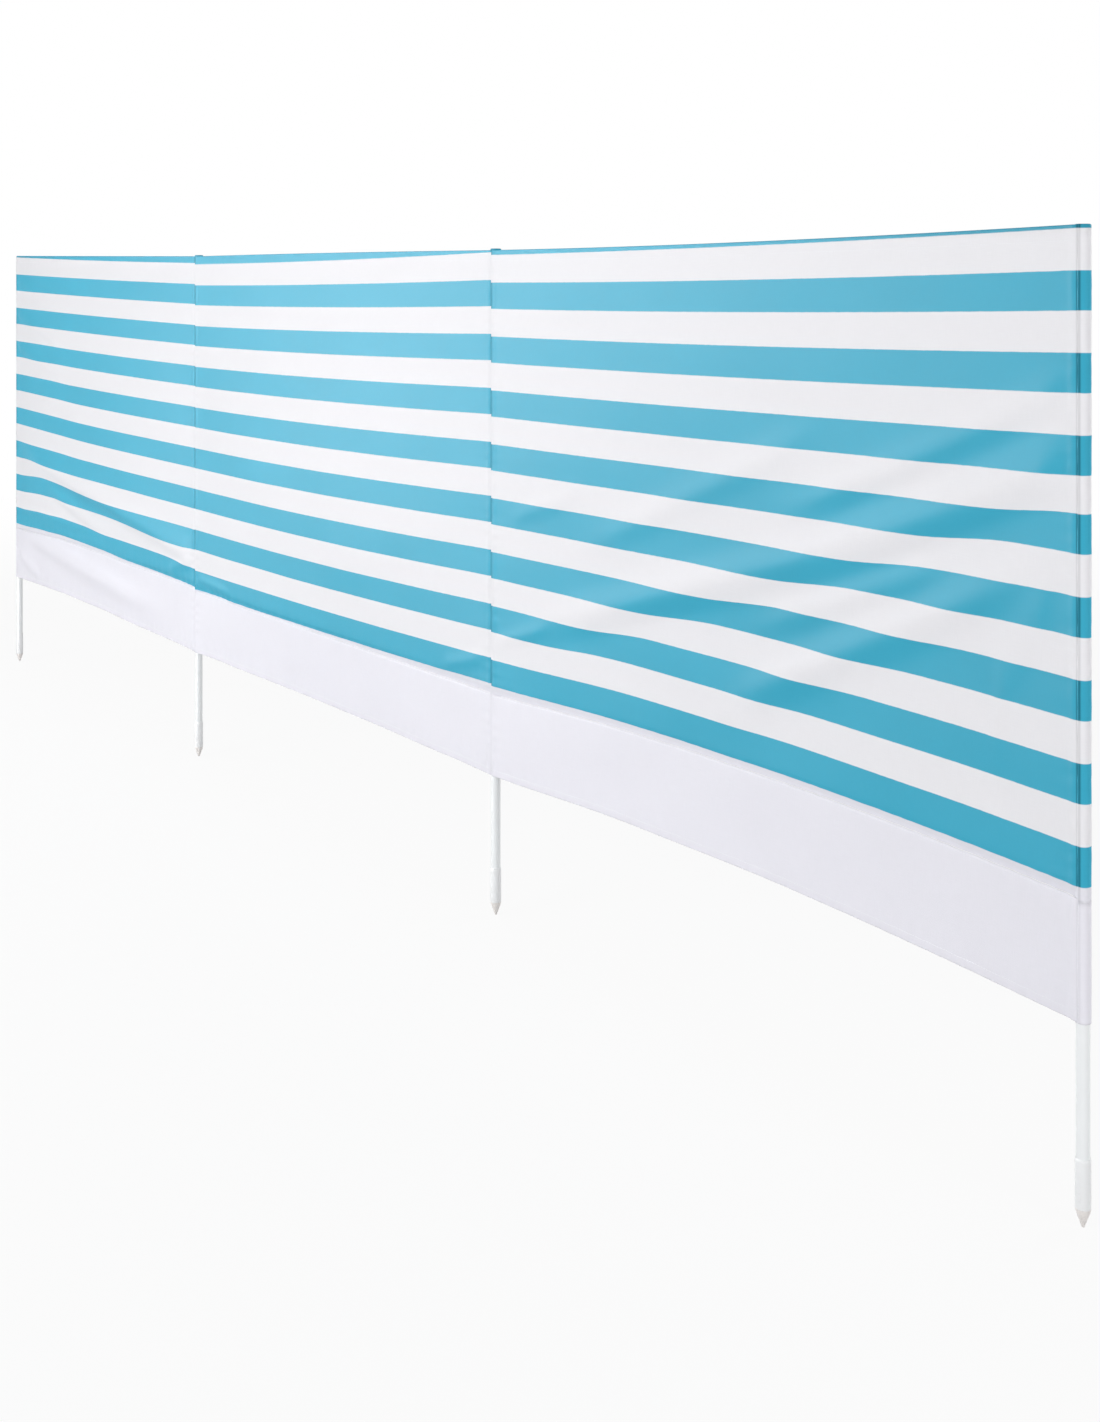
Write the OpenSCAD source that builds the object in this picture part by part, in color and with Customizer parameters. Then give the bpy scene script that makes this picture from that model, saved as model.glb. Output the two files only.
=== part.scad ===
// Beach windbreak: three bays of striped cloth over a plain skirt, sewn round four ground poles.
// Millimetres. +X runs along the windbreak, -Y is its front and +Z is up.
// The origin is on the blunt tip of the second pole, and the tips stand on z = 0.

/* [Run] */
// Distance between neighbouring poles
bay_pitch = 1000; // [700:10:1400]
// Bare pole from its tip up to the lower edge of the cloth
leg_h = 206; // [160:1:400]
// Height of the cloth, lower edge to top edge
cloth_h = 794; // [500:1:1200]

/* [Cloth] */
// Thickness of one layer of cloth
cloth_t = 1.2; // [0.8:0.1:2]
// Height of the plain skirt, lower edge to seam
skirt_h = 123; // [60:1:250]
// Height of the hem that is folded behind the top edge
top_hem_h = 18; // [8:1:40]
// Height of the hem that is folded behind the lower edge
bottom_hem_h = 12; // [6:1:30]
// Gap between a folded hem and the cloth in front of it
sewn_gap = 0.3; // [0.2:0.05:0.5]

/* [Billow] */
// How far the left bay stands back at mid height, forward if negative
left_belly = -18; // [-30:1:30]
// How far the middle bay stands back at mid height
middle_belly = -18; // [-30:1:30]
// How far the right bay stands back at mid height
right_belly = 4; // [-30:1:30]
// How far the left bay stands back at its lower edge
left_foot = 8; // [-40:1:40]
// How far the middle bay stands back at its lower edge
middle_foot = 8; // [-40:1:40]
// How far the right bay stands back at its lower edge
right_foot = 28; // [-40:1:40]

/* [Pole pockets] */
// Play between a pole and the loop of cloth round it, on the radius
pocket_play = 0.3; // [0.2:0.05:1]
// How far the cloth lies in front of the loop
loop_lead = 0.3; // [0.1:0.05:0.6]
// Half the width of cloth that is sewn to the loop
strip_w = 16; // [14:0.5:30]
// Thickness of the gathered cloth that closes the top of a pocket
cap_t = 2.4; // [1:0.1:5]
// Gap between the top of a pole and the closed end above it
cap_play = 5.6; // [0.1:0.1:8]
// Clearance of a swinging bay past the strip that it hangs from
swing_play = 0.35; // [0.25:0.05:1]

/* [Poles] */
// Outside diameter of the tube
tube_d = 14; // [10:0.5:20]
// Wall of the tube
tube_wall = 0.9; // [0.5:0.1:2]
// Wall of the sleeve above the point
ferrule_wall = 0.9; // [0.6:0.1:3]
// Length of the sleeve above the point
ferrule_h = 50; // [30:1:100]
// Height of the bevel round the top of the sleeve
bevel_h = 2; // [0.5:0.5:6]
// Play between the sleeve and the tube, on the radius
ferrule_play = 0.1; // [0.05:0.05:0.3]
// Height of the point, tip to sleeve
point_h = 20; // [12:1:50]
// Height of the shoulder at the top of the point
shoulder_h = 4; // [1:0.5:8]
// How far the shoulder draws in, on the radius
shoulder_in = 0.8; // [0.2:0.1:2]
// Diameter of the blunt tip
tip_d = 2.4; // [1:0.1:6]
// Length of the stem that holds the point in the tube
stem_h = 30; // [10:1:80]
// Play between the stem and the tube, on the radius
stem_play = 0.15; // [0.05:0.05:0.4]

/* [Hidden] */
bays = 3;
poles = bays + 1;
columns = 16;
panel_rows = 10;
skirt_rows = 3;
cut = 1;
$fn = 64;

belly = [left_belly, middle_belly, right_belly];
foot = [left_foot, middle_foot, right_foot];

tube_r = tube_d / 2;
ferrule_r = tube_r + ferrule_play + ferrule_wall;
stem_r = tube_r - tube_wall - stem_play;

top_z = leg_h + cloth_h;
seam_z = leg_h + skirt_h;
hem_z = top_z - top_hem_h;
pole_top = top_z - cap_t - cap_play;

pocket_r = tube_r + pocket_play;
loop_r = pocket_r + cloth_t;
cloth_front = -(loop_r + loop_lead);
cloth_back = cloth_front + cloth_t;
hem_front = cloth_back + sewn_gap;
hem_back = hem_front + cloth_t;

// The swinging edge of a bay keeps outside the circle that the strip's corner draws
corner_r = norm([strip_w, cloth_front]) + swing_play;
function swing_edge(y_back) = sqrt(pow(corner_r, 2) - pow(y_back, 2));

function pole_x(i) = (i - 2) * bay_pitch;

// The outer bays swing on the inner poles, and every other edge is sewn to its strip
function bay_start(b, y_back) = pole_x(b) + (b == bays ? swing_edge(y_back) : strip_w);
function bay_end(b, y_back) = pole_x(b + 1) - (b == 1 ? swing_edge(y_back) : strip_w);

// Depth of the cloth behind the line of its poles: nothing at the poles and along the top hem
function clamp(u) = min(1, max(0, u));
function across(b, x) = clamp((x - pole_x(b) - strip_w) / (bay_pitch - 2 * strip_w));
function down(z) = clamp((hem_z - z) / (hem_z - leg_h));
function ease(v) = v * v * (3 - 2 * v);
function billow(b, x, z) =
    sin(180 * across(b, x)) * (belly[b - 1] * sin(180 * down(z)) + foot[b - 1] * ease(down(z)));

function steps(from, to, count) = [for (k = [0 : count]) from + (to - from) * k / count];

// A layer of one bay's cloth that passes through the listed heights, lowest first
module sheet(b, heights, y_front, y_back) {
    xs = steps(bay_start(b, y_back), bay_end(b, y_back), columns);
    across_n = len(xs);
    layer_n = across_n * len(heights);
    last = len(heights) - 1;
    function front(j, i) = j * across_n + i;
    function back(j, i) = layer_n + front(j, i);
    polyhedron(
        points = [
            for (y = [y_front, y_back], z = heights, x = xs) [x, y + billow(b, x, z), z]
        ],
        faces = concat(
            [for (j = [0 : last - 1], i = [0 : columns - 1]) each [
                [front(j, i), front(j + 1, i), front(j + 1, i + 1)],
                [front(j, i), front(j + 1, i + 1), front(j, i + 1)],
                [back(j, i), back(j + 1, i + 1), back(j + 1, i)],
                [back(j, i), back(j, i + 1), back(j + 1, i + 1)]
            ]],
            [for (i = [0 : columns - 1]) each [
                [front(0, i), front(0, i + 1), back(0, i + 1), back(0, i)],
                [front(last, i), back(last, i), back(last, i + 1), front(last, i + 1)]
            ]],
            [for (j = [0 : last - 1]) each [
                [front(j, 0), back(j, 0), back(j + 1, 0), front(j + 1, 0)],
                [front(j, columns), front(j + 1, columns), back(j + 1, columns), back(j, columns)]
            ]]
        )
    );
}

module striped_panel(b) {
    color("#62b8d5")
        sheet(b, concat(steps(seam_z, hem_z, panel_rows), [top_z]), cloth_front, cloth_back);
}

module skirt(b) {
    color("#e9e9f5")
        sheet(b, steps(leg_h, seam_z, skirt_rows), cloth_front, cloth_back);
}

module top_hem(b) {
    color("#3fa3c6")
        sheet(b, [hem_z, top_z], hem_front, hem_back);
}

module bottom_hem(b) {
    color("#dcdcea")
        sheet(b, [leg_h, leg_h + bottom_hem_h], hem_front, hem_back);
}

// Plan of a pocket: a loop round the pole, and the strip of cloth in front that it is sewn to
module pocket_plan(i) {
    left_w = i == 1 ? 0 : strip_w;
    right_w = i == poles ? 0 : strip_w;
    circle(r = loop_r);
    translate([-left_w, cloth_front])
        square([left_w + right_w, cloth_t]);
}

module upper_pocket(i) {
    color("#57aecd")
        translate([pole_x(i), 0, seam_z])
            difference() {
                linear_extrude(top_z - seam_z)
                    pocket_plan(i);
                translate([0, 0, -cut])
                    cylinder(r = pocket_r, h = top_z - seam_z - cap_t + cut);
            }
}

module lower_pocket(i) {
    color("#e2e2f0")
        translate([pole_x(i), 0, leg_h])
            difference() {
                linear_extrude(skirt_h)
                    pocket_plan(i);
                translate([0, 0, -cut])
                    cylinder(r = pocket_r, h = skirt_h + 2 * cut);
            }
}

module pole(i) {
    color("#eceff1")
        translate([pole_x(i), 0, point_h])
            difference() {
                cylinder(r = tube_r, h = pole_top - point_h);
                translate([0, 0, -cut])
                    cylinder(r = tube_r - tube_wall, h = pole_top - point_h + 2 * cut);
            }
}

module ferrule(i) {
    bore_r = tube_r + ferrule_play;
    rim_r = (bore_r + ferrule_r) / 2;
    color("#f3f5f6")
        translate([pole_x(i), 0, point_h])
            rotate_extrude()
                polygon([
                    [bore_r, 0],
                    [ferrule_r, 0],
                    [ferrule_r, ferrule_h - bevel_h],
                    [rim_r, ferrule_h],
                    [bore_r, ferrule_h]
                ]);
}

module point(i) {
    color("#d9d4cf")
        translate([pole_x(i), 0, 0])
            rotate_extrude()
                polygon([
                    [0, 0],
                    [tip_d / 2, 0],
                    [ferrule_r - shoulder_in, point_h - shoulder_h],
                    [ferrule_r, point_h],
                    [stem_r, point_h],
                    [stem_r, point_h + stem_h],
                    [0, point_h + stem_h]
                ]);
}

for (i = [1 : poles]) {
    pole(i);
    ferrule(i);
    point(i);
    upper_pocket(i);
    lower_pocket(i);
}
for (b = [1 : bays]) {
    striped_panel(b);
    skirt(b);
    top_hem(b);
    bottom_hem(b);
}
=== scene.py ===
"""Looks of a three-bay beach windbreak, laid out as a Blender add-on and run as a script.

The cloth of each bay is one folded sheet, sewn to pole pockets that loop round the poles.
Lengths are in metres.
"""

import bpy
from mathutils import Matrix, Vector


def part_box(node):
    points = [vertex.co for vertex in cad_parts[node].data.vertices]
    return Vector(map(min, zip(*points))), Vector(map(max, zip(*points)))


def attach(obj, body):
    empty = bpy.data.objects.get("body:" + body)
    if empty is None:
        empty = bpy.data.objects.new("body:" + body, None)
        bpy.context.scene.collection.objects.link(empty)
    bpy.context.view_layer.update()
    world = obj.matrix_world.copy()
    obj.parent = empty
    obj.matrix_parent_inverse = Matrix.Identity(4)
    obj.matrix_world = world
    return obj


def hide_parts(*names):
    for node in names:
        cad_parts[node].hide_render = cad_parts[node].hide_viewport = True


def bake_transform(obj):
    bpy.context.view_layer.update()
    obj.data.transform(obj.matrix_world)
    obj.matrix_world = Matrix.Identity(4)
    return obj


bl_info = {
    "name": "Beach Windbreak",
    "version": (1, 0, 0),
    "blender": (4, 5, 0),
    "location": "View3D > Sidebar > Windbreak",
    "description": "Builds the striped cloth, skirts, pole pockets, stitching and feet of a beach windbreak",
    "category": "Add Mesh",
}

import math
from collections import namedtuple

import bpy
import numpy as np
from bpy.props import FloatProperty, FloatVectorProperty, PointerProperty
from mathutils import Vector

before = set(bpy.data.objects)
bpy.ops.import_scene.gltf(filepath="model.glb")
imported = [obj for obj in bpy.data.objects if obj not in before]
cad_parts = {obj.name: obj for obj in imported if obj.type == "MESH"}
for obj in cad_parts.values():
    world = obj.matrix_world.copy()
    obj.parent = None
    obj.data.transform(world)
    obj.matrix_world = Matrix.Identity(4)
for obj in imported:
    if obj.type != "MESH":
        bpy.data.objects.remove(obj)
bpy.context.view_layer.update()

# Names of the frame
POLES = (1, 2, 3, 4)
BAYS = (1, 2, 3)
LAST_POLE = POLES[-1]
MIDDLE_BODY = "middle_bay"
BAY_BODY = {1: "left_bay", 2: MIDDLE_BODY, 3: "right_bay"}
POLE_BODY = {1: "left_bay", 2: MIDDLE_BODY, 3: MIDDLE_BODY, 4: "right_bay"}

# Sizes that the frame gives
POCKET_LOW, POCKET_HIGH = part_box("upper_pocket_1")
TOP_Z = POCKET_HIGH.z
SEAM_Z = POCKET_LOW.z
LOW_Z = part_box("lower_pocket_1")[0].z
TOP_HEM = TOP_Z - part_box("top_hem_2")[0].z
BOTTOM_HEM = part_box("bottom_hem_2")[1].z - LOW_Z
LOOP_R = POCKET_HIGH.y
POLE_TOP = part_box("pole_1")[1].z
TUBE_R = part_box("pole_1")[1].y
CLOTH_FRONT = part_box("upper_pocket_2")[0].y
SLEEVE_LOW, SLEEVE_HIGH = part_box("ferrule_1")
SLEEVE_R = SLEEVE_HIGH.y
POLE_X = {i: (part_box(f"pole_{i}")[0].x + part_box(f"pole_{i}")[1].x) / 2 for i in POLES}
BAY_PITCH = POLE_X[2] - POLE_X[1]
MIDDLE_X = (POLE_X[1] + POLE_X[LAST_POLE]) / 2

# Middle of a layer of the frame's cloth: its y where nothing pushes it, and its radius round a pole
HALF_LAYER = 0.0006
CLOTH_Y = CLOTH_FRONT + HALF_LAYER
LOOP_MIDDLE_R = LOOP_R - HALF_LAYER

# Grids of the cloth, the pockets and the turned pieces
COLUMNS = 190
END_CROWDING = 0.5
ROW_STEP = 0.004
FOLD_ROWS = 7
FLAP_ROWS = 7
LOOP_SIDES = 40
LOOP_FLANK = 3
LOOP_STEP = 0.006
CORNER_ROWS = 6
LID_ROWS = 7
LID_HOLE = 0.03
TURNED_SIDES = 56
ROUNDING_POINTS = 5
TINY = 1e-12

# How the sewing holds the cloth
SEAM_HOLD = 0.045
TOP_CLEAR = 0.004
TOP_HOLD = 0.03
CREASE_WIDTH = 0.0024
RIDGE_PLACE = 0.0065
RIDGE_WIDTH = 0.0038
EDGE_REACH = 0.2
TUCK_REACH = 0.014
POLE_NEAR = 0.01
POLE_HOLD = 0.4
POLE_HOLD_REACH = 0.05

# Puckers: how far they reach from each sewn line, how far from a pole they start, how strong they are at the
# top hem, and the length, wandering and pace of their waves up the poles and along the hems
PUCKER_AT_POLE = 0.014
PUCKER_AT_SEAM = 0.012
PUCKER_AT_TOP = 0.010
PUCKER_AT_LOW = 0.012
PUCKER_START = 0.008
PUCKER_TOP_SHARE = 0.5
UPRIGHT_WAVE = (0.023, 0.35, 61)
LEVEL_WAVE = (0.031, 0.40, 37)

# Pole pockets: how far the sewn tip lies behind the cloth, the overlap at the skirt seam, the rounding of the
# closed top, the slack of upper and lower loops, how fast it changes up a pole, the share of its finer part,
# and how many radii from the pole the cloth is sewn
TIP_BACK = 0.0002
LOOP_LAP = 0.002
CLOSED_CORNER = 0.0014
UPPER_SLACK = 0.02
LOWER_SLACK = 0.012
SLACK_PACES = (290, 83, 47)
SLACK_FINE = 0.6
SEWN_FROM = 1.02

# Stitch rows: how far they keep from a hem's edge, the skirt seam, a bay's ends and a lower pocket's ends,
# and their points. Along one stitch: its stations, and its fatness and lift there in thread radii
HEM_STITCH = 0.0025
SEAM_STITCH = 0.002
ROW_INSET = 0.004
POCKET_ROW_LOW = 0.003
POCKET_ROW_HIGH = 0.004
LEVEL_POINTS = 500
UPRIGHT_POINTS = 300
STITCH_SIDES = 6
STITCH_STATIONS = np.array([-0.5, -0.28, 0.28, 0.5])
STITCH_FATNESS = np.array([0.35, 1.0, 1.0, 0.35])
STITCH_LIFT = np.array([-0.2, 0.8, 0.8, -0.2])

# How far each bay's top and lower edges lie above the frame's, at the left pole, mid bay and the right pole
TOP_EDGE = {1: (0.0008, -0.0043, -0.0093), 2: (-0.0096, -0.0083, -0.0096), 3: (-0.0094, -0.0063, 0.0042)}
LOW_EDGE = {1: (0.0040, -0.0020, -0.0020), 2: (0.0010, 0.0035, 0.0030), 3: (0.0030, -0.0015, 0.0000)}

# Top of the cloth that closes each pocket, above the top of its pole
CLOSED_TOP = {1: 0.0066, 2: 0.0009, 3: 0.0009, 4: 0.0126}

# A fold: control points (x, z) of the line along its shaded side, its half width, how far its crest stands
# out, how far it draws up the cloth below it, and how many half widths below its line that starts.
# It fades out where it ends away from a pole.
Fold = namedtuple("Fold", "bay path width height take lag", defaults=(0.0, 0.0))
FOLDS = (
    Fold(1, ((-1.00, 0.935), (-0.86, 0.895), (-0.70, 0.865)), 0.014, 0.0020),
    Fold(1, ((-1.00, 0.855), (-0.84, 0.812), (-0.60, 0.775)), 0.014, 0.0040, 0.0006),
    Fold(1, ((-1.00, 0.780), (-0.82, 0.727), (-0.55, 0.685)), 0.016, 0.0040, 0.0014),
    Fold(1, ((-0.98, 0.525), (-0.80, 0.470), (-0.46, 0.462), (0.06, 0.360)), 0.028, 0.0092, 0.0105),
    Fold(1, ((-0.98, 0.378), (-0.82, 0.362), (-0.45, 0.358)), 0.010, 0.0028),
    Fold(1, ((-0.80, 0.437), (-0.60, 0.395), (-0.32, 0.345)), 0.015, 0.0030, 0.0040),
    Fold(1, ((-0.98, 0.315), (-0.69, 0.262), (-0.10, 0.238)), 0.026, 0.0090),
    Fold(1, ((-0.98, 0.258), (-0.91, 0.238), (-0.84, 0.215)), 0.015, 0.0055),
    Fold(1, ((-0.13, 0.338), (-0.06, 0.350), (0.00, 0.378)), 0.012, 0.0028),
    Fold(2, ((0.86, 0.342), (0.93, 0.352), (1.00, 0.383)), 0.012, 0.0022, 0.0012),
    Fold(2, ((0.00, 0.352), (0.06, 0.345), (0.16, 0.342)), 0.009, 0.0030, 0.0020),
    Fold(3, ((1.012, 0.398), (1.36, 0.520), (1.70, 0.610), (2.00, 0.755)), 0.024, 0.0080, 0.0082, 0.9),
    Fold(3, ((1.44, 0.375), (1.70, 0.500), (1.98, 0.640)), 0.022, 0.0070, 0.0016, 0.9),
    Fold(3, ((1.50, 0.487), (1.70, 0.565), (1.86, 0.630)), 0.016, 0.0032),
    Fold(3, ((1.18, 0.553), (1.45, 0.662), (1.67, 0.768)), 0.020, 0.0038),
    Fold(3, ((1.54, 0.637), (1.82, 0.745), (1.99, 0.830)), 0.018, 0.0046),
    Fold(3, ((1.885, 0.435), (1.92, 0.550), (1.985, 0.625)), 0.018, 0.0020),
    Fold(3, ((1.00, 0.400), (1.06, 0.415), (1.14, 0.445)), 0.011, 0.0022),
    Fold(3, ((1.03, 0.585), (1.12, 0.610), (1.22, 0.648)), 0.014, 0.0020),
)
FOLD_SAMPLES = 80
FOLD_LEAD = 0.7
FOLD_FADE = 0.28
TAKE_REACH = 0.40

# Gentle unevenness of the hanging cloth: waves of seeded direction and length
RIPPLE_SEED = 7
RIPPLE_COUNT = 14
RIPPLE_LENGTHS = (0.07, 0.30)
RIPPLE_LEAN = 0.9

# Printed stripes: height of the first stripe's top edge at each bay's left pole, middle and right pole, and
# the distance from stripe to stripe at the same places. In parts of that distance: the blue share, the soft
# edge of the print and how far it wanders. Last, the scale of that wandering and the reverse's share of ink
STRIPE_TOP = {1: (0.956, 0.9448, 0.9365), 2: (0.934, 0.9378, 0.9470), 3: (0.943, 0.9478, 0.959)}
STRIPE_PITCH = {1: (0.0819, 0.08115, 0.0810), 2: (0.0805, 0.0804, 0.0803), 3: (0.0801, 0.0813, 0.0825)}
STRIPE_SHARE = 0.488
PRINT_EDGE = 0.014
PRINT_WANDER = 0.004
WANDER_SCALE = 90.0
REVERSE_INK = 0.86

# Weave: slubs along and across a thread and crossings, all per metre, how slubs vary the colour and the
# roughness, and the crossings' share, the strength and the height of the relief
SLUBS_ALONG = 60.0
SLUBS_ACROSS = 1500.0
CROSSINGS = 2200.0
SLUB_TONE = (0.955, 1.045)
SLUB_ROUGHNESS = (0.38, 0.52)
CROSSING_SHARE = 0.6
WEAVE_STRENGTH = 0.35
WEAVE_RELIEF = 0.00012

# Sheen of all cloth, gloss of bare cloth, skirt and printed cloth, and roughness of the sewing thread
SHEEN = 0.04
SHEEN_ROUGHNESS = 0.5
BARE_GLOSS = 0.028
SKIRT_GLOSS = 0.060
PRINT_GLOSS = 0.052
THREAD_ROUGHNESS = 0.6

# Cloudiness of a colour: scale of the noise, how far it takes the colour up and down, and its detail
Clouds = namedtuple("Clouds", "scale depth detail", defaults=(3.0,))
PRINT_CLOUDS = Clouds(5.0, 0.06)
SKIRT_CLOUDS = Clouds(7.0, 0.025)
HARD_CLOUDS = Clouds(30.0, 0.025)
THREAD_CLOUDS = Clouds(900.0, 0.1, 1.0)
FLOOR_CLOUDS = Clouds(2.0, 0.01, 2.0)

# Painted crease shade along the seams in front of the poles: half the width of its core and of the whole
# line, how many bays from the middle the end poles' zones start and are full, and how much less colour or
# gloss the painted shade leaves along the seams at inner and end poles
SEAM_CORE = 0.0010
SEAM_LINE = 0.0036
END_ZONE = (1.3, 1.4)
PRINT_SEAM_SHADE = (0.26, 0.54)
BARE_SEAM_SHADE = (0.0, 0.16)
GLOSS_SEAM_SHADE = (0.6, 1.0)
SKIRT_SEAM_SHADE = (0.04, 0.07)

# Painted shade on the striped cloth: height of the painted shade along the top hem's fold and what it
# leaves of blue and white, and where the painted shade above the skirt seam ends. Painted shade along the
# fold of the lower hem: how far it lies below the edge, its soft width and its tone
HEM_SHADE = 0.010
PRINT_HEM_SHADE = 0.80
BARE_HEM_SHADE = 0.96
SKIRT_SEAM_SHADE_END = (0.016, 0.020)
LOW_HEM_SHADE_BELOW = 0.0005
LOW_HEM_SHADE_WIDTH = (0.0004, 0.0018)
LOW_HEM_SHADE_TONE = 0.80

# Hard finishes: roughness, scale of the grain and strength of the scuffs. Scuffs: height that they reach,
# their noise and its range, and their tone and roughness. Smears: their noise, and how far they vary the
# roughness. Grain: its strength and height
HardFinish = namedtuple("HardFinish", "roughness grain scuff")
HARD_FINISHES = {
    "tube_coat": HardFinish(0.34, 700.0, 0.25),
    "sleeve_plastic": HardFinish(0.42, 500.0, 0.35),
    "point_plastic": HardFinish(0.50, 600.0, 0.6),
}
SCUFF_REACH = 0.09
SCUFF_NOISE = (260.0, 5.0, 0.7)
SCUFF_RANGE = (0.50, 0.72)
SCUFF_TONE = 0.72
SCUFF_ROUGHNESS = 0.25
SMEAR_NOISE = (90.0, 3.0)
SMEAR_DEPTH = 0.05
GRAIN_STRENGTH = 0.12
GRAIN_RELIEF = 0.0002

# Sleeve: play on the tube, height of the bevel and the roundings of its edges
SLEEVE_PLAY = 0.0001
SLEEVE_BEVEL = 0.002
SLEEVE_ROUNDINGS = (0.0003, 0.0008, 0.0003, 0.0001)

# Point: radius of the blunt tip, height and draw of the shoulder, gap below the sleeve, how far the stem lies
# inside the tube's outside, its length, and the roundings of the edges. The axis keeps a hair's breadth open
TIP_R = 0.0012
SHOULDER_Z = 0.016
SHOULDER_IN = 0.0008
POINT_GAP = 0.0002
STEM_IN = 0.00105
STEM_LENGTH = 0.03
AXIS_R = 0.00001
POINT_ROUNDINGS = (0.0007, 0.0016, 0.0002, 0.0001, 0.0005)

# Photograph's view
IMAGE_HEIGHT = 1422
FOCAL_PIXELS = 1611.2
HORIZON_ROW = 275.2
EYE = (2.9448, -1.4129, 0.9534)
EYE_TURN = 52.077
SENSOR = 36.0

# Studio: strength of the sky as light, half the floor's size, its roughness, how much of its white is its own
# near the windbreak, and the distances between which that rises to all of it
SKY_LIGHT = 0.34
FLOOR_HALF = 80.0
FLOOR_ROUGHNESS = 0.9
FLOOR_WHITE = 0.92
FLOOR_NEAR = 1.8
FLOOR_FAR = 4.5

# Soft square lights: place, point aimed at, side and power. The gloss light shows in reflections alone
Lamp = namedtuple("Lamp", "place aim side power")
LAMPS = {
    "key": Lamp((0.62, -4.9, 2.0), (0.62, 0.0, 0.6), 2.2, 146.0),
    "end_fill": Lamp((4.4, -0.1, 0.8), (2.0, 0.0, 0.6), 1.0, 26.0),
    "back_fill": Lamp((2.4, 4.4, 2.2), (0.5, 0.0, 0.5), 2.5, 64.0),
    "gloss": Lamp((-0.55, -1.8, 0.95), (0.5, 0.0, 0.62), 2.5, 460.0),
}
GLOSS_LAMP = "gloss"


class WindbreakSizes(bpy.types.PropertyGroup):
    """Sizes of the sewn cloth"""

    cloth_thickness: FloatProperty(
        name="Cloth Thickness", description="Thickness of one layer of cloth", default=0.0005, unit="LENGTH")
    belly: FloatVectorProperty(
        name="Belly", description="How far each bay stands back at mid height, forward if negative",
        size=3, default=(-0.018, -0.018, 0.004), unit="LENGTH")
    foot: FloatVectorProperty(
        name="Foot", description="How far each bay stands back at its lower edge",
        size=3, default=(0.008, 0.008, 0.028), unit="LENGTH")
    fold_radius: FloatProperty(
        name="Fold Radius", description="Radius of the fold along a hem", default=0.0009, unit="LENGTH")
    tuck: FloatProperty(
        name="Seam Tuck", description="How far the striped panel tucks in behind the upper edge of the skirt",
        default=0.0032, unit="LENGTH")
    crease: FloatProperty(
        name="Crease", description="How far the cloth draws in along the seam in front of a pole",
        default=0.0006, unit="LENGTH")
    ridge: FloatProperty(
        name="Ridge", description="How far the cloth stands out beside that seam",
        default=0.0010, unit="LENGTH")
    pucker: FloatProperty(
        name="Pucker", description="Height of the small waves along sewn lines",
        default=0.0006, unit="LENGTH")
    ripple: FloatProperty(
        name="Ripple", description="Height of the gentle unevenness of the cloth",
        default=0.00055, unit="LENGTH")
    stitch_length: FloatProperty(
        name="Stitch Length", description="Length of one stitch that shows", default=0.0032, unit="LENGTH")
    stitch_gap: FloatProperty(
        name="Stitch Gap", description="Gap between two stitches", default=0.0009, unit="LENGTH")
    thread_diameter: FloatProperty(
        name="Thread Diameter", description="Diameter of the sewing thread", default=0.00036, unit="LENGTH")


class WindbreakColours(bpy.types.PropertyGroup):
    """Colours of the finishes, as linear values"""

    stripe: FloatVectorProperty(
        name="Stripe", description="Blue of the printed stripes",
        subtype="COLOR", default=(0.046, 0.396, 0.565))
    ground: FloatVectorProperty(
        name="Ground", description="White of the striped cloth",
        subtype="COLOR", default=(0.838, 0.833, 0.862))
    # Painted shade: the striped cloth's white, darkened above the skirt seam
    skirt_seam_shade: FloatVectorProperty(
        name="Allowance", description="Greyer white above the skirt seam, where the striped cloth is double",
        subtype="COLOR", default=(0.785, 0.78, 0.84))
    skirt: FloatVectorProperty(
        name="Skirt", description="Lavender white of the skirt",
        subtype="COLOR", default=(0.82, 0.81, 0.872))
    thread: FloatVectorProperty(
        name="Thread", description="White of the sewing thread",
        subtype="COLOR", default=(0.86, 0.87, 0.90))
    tube: FloatVectorProperty(
        name="Tube", description="White of the coated tubes",
        subtype="COLOR", default=(0.865, 0.885, 0.895))
    sleeve: FloatVectorProperty(
        name="Sleeve", description="White of the plastic sleeves",
        subtype="COLOR", default=(0.845, 0.855, 0.865))
    point: FloatVectorProperty(
        name="Point", description="Greyish beige of the plastic points",
        subtype="COLOR", default=(0.81, 0.775, 0.755))
    floor: FloatVectorProperty(
        name="Floor", description="White of the studio floor",
        subtype="COLOR", default=(0.60, 0.60, 0.60))


def ease(t):
    """Smooth step from 0 to 1."""
    t = np.clip(t, 0.0, 1.0)
    return t * t * (3 - 2 * t)


def bay_ends(bay):
    """The x of both edges of a bay's cloth: the seams in front of its poles."""
    return POLE_X[bay], POLE_X[bay + 1]


def bay_at(pole):
    """The bay that starts at a pole, or the last bay at the last pole."""
    return min(pole, BAYS[-1])


def bay_columns(bay):
    """The x of a bay's columns, closer together near both edges."""
    left, right = bay_ends(bay)
    t = np.linspace(0, 1, COLUMNS + 1)
    return left + (right - left) * (t - END_CROWDING * np.sin(2 * math.pi * t) / (2 * math.pi))


def across(bay, x):
    """Share of the way from a bay's left pole to its right pole."""
    left, right = bay_ends(bay)
    return np.clip((x - left) / (right - left), 0, 1)


def from_poles(bay, x):
    """Distance to the nearer edge of a bay's cloth."""
    left, right = bay_ends(bay)
    return np.minimum(x - left, right - x)


def billow(sizes, bay, x, z):
    """Depth of the wind-filled bay behind the line of its poles."""
    hem_z = TOP_Z - TOP_HEM
    down = np.clip((hem_z - z) / (hem_z - LOW_Z), 0, 1)
    deep = sizes.belly[bay - 1] * np.sin(math.pi * down) + sizes.foot[bay - 1] * ease(down)
    return np.sin(math.pi * across(bay, x)) * deep


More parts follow.
